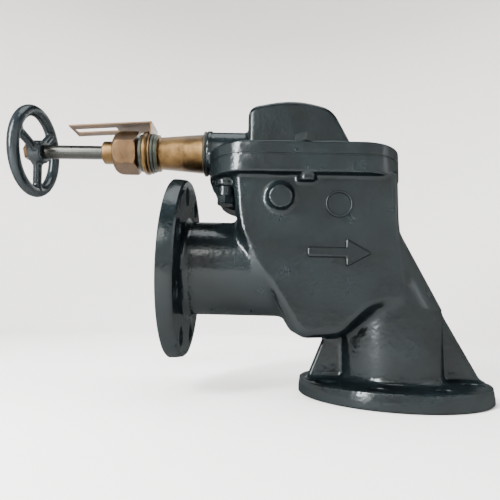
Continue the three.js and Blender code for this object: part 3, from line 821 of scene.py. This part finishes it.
neck_nose = [[-285, 13], [-285, 15.4]]
for i in range(12):
    x = -284.2 + i * 1.75
    neck_nose += [[x, 15.3], [x + 0.85, 16.1]]
neck_profile = np.concatenate(
    [
        neck_nose,
        filleted(
            [
                [-254.2, 15.6], [-253.9, 21], [-250.6, 21], [-250.2, 20], [-245.6, 20], [-244.8, 17.3],
                [-196.9, 21.2], [-196.6, 24.3], [-194.1, 24.3], [-194.1, 17], [-162, 17], [-162, BORE_R],
                [-263.6, BORE_R], [-263.6, 13],
            ],
            [0, 0.5, 0.4, 0, 0.8, 1.6, 1.5, 0.6, 0.4, 0, 0.5, 0.5, 0, 0],
            5,
        ),
    ]
)
stem_neck = lathe("stem_neck_turned", neck_profile[::-1], "x", ON_STEM, cast_bronze, 96, 30)
# The neck's shoulder faces take the darkened bronze as painted shade; the collar at its right end takes it too.
stem_neck.data.materials.append(dark_bronze)
middles = np.zeros(len(stem_neck.data.polygons) * 3)
stem_neck.data.polygons.foreach_get("center", middles)
along = middles[::3] / MM
darker = ((along > -254.5) & (along < -246.5)) | (along > -197.2)
stem_neck.data.polygons.foreach_set("material_index", darker.astype(np.int32))
in_place(stem_neck, "casing", "cast_bronze", "stem_neck")

follower_profile = filleted(
    [
        [-307.5, BORE_R], [-307.5, 12.4], [-289.2, 12.4], [-289.2, 15.5], [-285.5, 15.5], [-285.5, 12.6],
        [-279.3, 12.6], [-279.3, BORE_R],
    ],
    [0.6, 1.2, 0, 0.3, 0.3, 0, 0.4, 0],
    5,
)
follower = lathe("gland_follower_turned", follower_profile[::-1], "x", ON_STEM, cast_bronze, 80, 30)
in_place(follower, "casing", "cast_bronze", "gland_follower")


def gland_nut_shape():
    """A hexagon bar cut by a profile turned round the stem: each radius is the lesser of the two."""
    turns = 120
    theta = np.arange(turns) / turns * 2 * np.pi
    flat = 20.5
    edge = flat / np.cos((theta % (np.pi / 3)) - np.pi / 6)
    outside = filleted(
        [
            [-295.3, 12.8], [-295.3, 16], [-293.8, 20], [-291, 22.6],
            [-287, 23.6], [-270.2, 23.6], [-268.8, 21.8], [-268.8, 16.4],
        ],
        [0.3, 1.5, 2, 2, 2, 0.6, 0.4, 0.2],
        4,
    )
    inside = np.array([[-289.5, 16.4], [-289.5, 12.8]])
    rows = []
    for x, r in np.concatenate([outside, inside]):
        rows.append((x, np.minimum(r, edge) if r > 16.5 else np.full(turns, r)))
    turn = math.radians(-15)
    points = np.concatenate(
        [
            np.stack([np.full(turns, x), r * np.cos(theta + turn), STEM_Z + r * np.sin(theta + turn)], 1)
            for x, r in rows
        ]
    )
    piece = build_mesh("gland_nut_hexagon", points, grid_faces(len(rows), turns, True, True), brown_bronze, 22)
    tidy_mesh(piece, 22)
    return piece


in_place(gland_nut_shape(), "casing", "dark_bronze", "gland_nut")

lock_profile = filleted(
    [[-262.6, 16.3], [-262.6, 21.8], [-260.8, 23.5], [-257.8, 23.5], [-256, 21.8], [-256, 16.3]],
    [0, 0.4, 0.6, 0.6, 0.4, 0],
    4,
)
lock_nut = lathe("lock_nut_turned", lock_profile[::-1], "x", ON_STEM, cast_bronze, 96, 28)
in_place(lock_nut, "casing", "dark_bronze", "indicator_lock_nut")

# The lock washer takes the darkened bronze as painted shade, not as its own colour.
washer_profile = filleted([[-265.8, 16.3], [-265.8, 20.5], [-262.7, 20.5], [-262.7, 16.3]], [0, 0.4, 0.4, 0], 4)
lock_washer = lathe("lock_washer_turned", washer_profile[::-1], "x", ON_STEM, dark_bronze, 96, 28)
in_place(lock_washer, "casing", "cast_bronze", "indicator_lock_washer")


# ---- Thin metal and soft parts that keep their CAD shape ----
# The pin, flap, seat, packing, washers, stem and the slotted indicator strip are plain turned, cut or pressed
# pieces, mostly shut inside the casing. The joint's gasket is painted over on its edge with the castings.
def finish_node(node, material):
    """Gives a CAD node a finish on its object's slot; its mesh stays as it came."""
    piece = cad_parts[node]
    if not piece.material_slots:
        piece.data.materials.append(material)
    piece.material_slots[0].link = "OBJECT"
    piece.material_slots[0].material = material


def plain(name, colour, rough, metal, grain_mm, relief_mm):
    """A plain finish with a slight grain: noise of the grain's real size in its roughness and its relief."""
    material, tree = new_material(name)
    place = add(tree, "ShaderNodeTexCoord").outputs["Object"]
    grain = add(tree, "ShaderNodeTexNoise", {"Vector": place, "Scale": 1 / (grain_mm * MM), "Detail": 3.0})
    varied = add(
        tree,
        "ShaderNodeMapRange",
        {
            "Value": grain.outputs[0],
            "From Min": 0.3,
            "From Max": 0.7,
            "To Min": rough - 0.08,
            "To Max": rough + 0.08,
        },
    )
    shade = add(
        tree,
        "ShaderNodeMapRange",
        {"Value": grain.outputs[0], "From Min": 0.3, "From Max": 0.7, "To Min": 0.8, "To Max": 1.15},
    )
    tint = add(tree, "ShaderNodeVectorMath", {0: linear(colour)[:3], 3: shade.outputs[0]}, operation="SCALE")
    bump = add(
        tree, "ShaderNodeBump", {"Height": grain.outputs[0], "Strength": 0.4, "Distance": relief_mm * MM}
    )
    shader = add(
        tree,
        "ShaderNodeBsdfPrincipled",
        {
            "Base Color": tint.outputs[0],
            "Metallic": metal,
            "Roughness": varied.outputs[0],
            "Normal": bump.outputs[0],
        },
    )
    finish_material(tree, shader)
    return material


stainless = plain("turned_stainless_steel", "#7c7e7e", 0.3, 1.0, 1.5, 0.02)
stem_steel = plain("oiled_turned_steel", "#2b2c2a", 0.34, 1.0, 2.5, 0.03)
gasket_fibre = plain("compressed_fibre_gasket", "#0e0e0d", 0.85, 0.0, 1.0, 0.1)
copper = plain("soft_copper", "#a8683f", 0.38, 1.0, 2.0, 0.03)
packing_yarn = plain("braided_packing", "#b9b2a0", 0.9, 0.0, 0.8, 0.2)
finish_node("cover_gasket", slate_enamel)
for node in ("neck_gasket", "disc_facing"):
    finish_node(node, gasket_fibre)
for node in ("packing_ring_1", "packing_ring_2", "packing_ring_3"):
    finish_node(node, packing_yarn)
for node in ("hinge_pin", "disc_washer", "disc_nut", "disc_split_pin", "thrust_pad"):
    finish_node(node, stainless)
for node in (
    "flap_arm", "flap_disc", "seat_ring", "pin_spacer_near", "pin_spacer_far",
    "hinge_bush_near", "hinge_bush_far",
):
    finish_node(node, cast_bronze)
finish_node("plug_washer", copper)
finish_node("indicator_plate", brown_bronze)
finish_node("wheel_washer", stem_steel)
finish_node("hinge_plug", cast_bronze)
finish_node("stem", stem_steel)
finish_node("wheel_nut", brown_bronze)

# ---- Handwheel ----
# A small cast iron wheel with a round rim, three spokes that run into it with fillets, and a hub
# bored square for the stem. It is painted a slightly bluer grey than the body.
wheel_enamel = enamel("wheel_enamel_on_cast_iron", "#0c1012", "#14191c")
WHEEL_X, WHEEL_R, TUBE_R, HUB_R = -385.3, 44.0, 6.0, 12.5
HUB_LEFT, HUB_RIGHT = -389.0, -374.0


def wheel(x, y, z):
    """Distance to the wheel: a ring, three leaning spokes and a hub, blended, less the square hole."""
    z = z - STEM_Z
    rim = np.hypot(np.hypot(y, z) - WHEEL_R, x - WHEEL_X) - TUBE_R
    solid = meet(radial(y, z, HUB_R), between(x, HUB_LEFT, HUB_RIGHT), 1.5)
    for i in range(3):
        a = math.radians(15 + 120 * i)
        out = y * math.sin(a) - z * math.cos(a)
        side = y * math.cos(a) + z * math.sin(a)
        middle = WHEEL_X + 2.8 - 0.06 * out
        spoke = meet(np.hypot(side, x - middle) - 4.6, between(out, 2, WHEEL_R - 1), 0.5)
        solid = unite(solid, spoke, 4)
    solid = unite(solid, rim, 3)
    square = np.maximum(np.abs(y), np.abs(z)) - 5.8
    return np.maximum(solid, -np.maximum(square, between(x, HUB_LEFT - 2, HUB_RIGHT + 2)))


points, quads = cast_shape(wheel, (-394, -52, STEM_Z - 52), (-372, 52, STEM_Z + 52), 0.9)
handwheel = build_mesh("handwheel_casting", points, quads, wheel_enamel, 50)
in_place(handwheel, "stem_gear", "enamel", "handwheel")
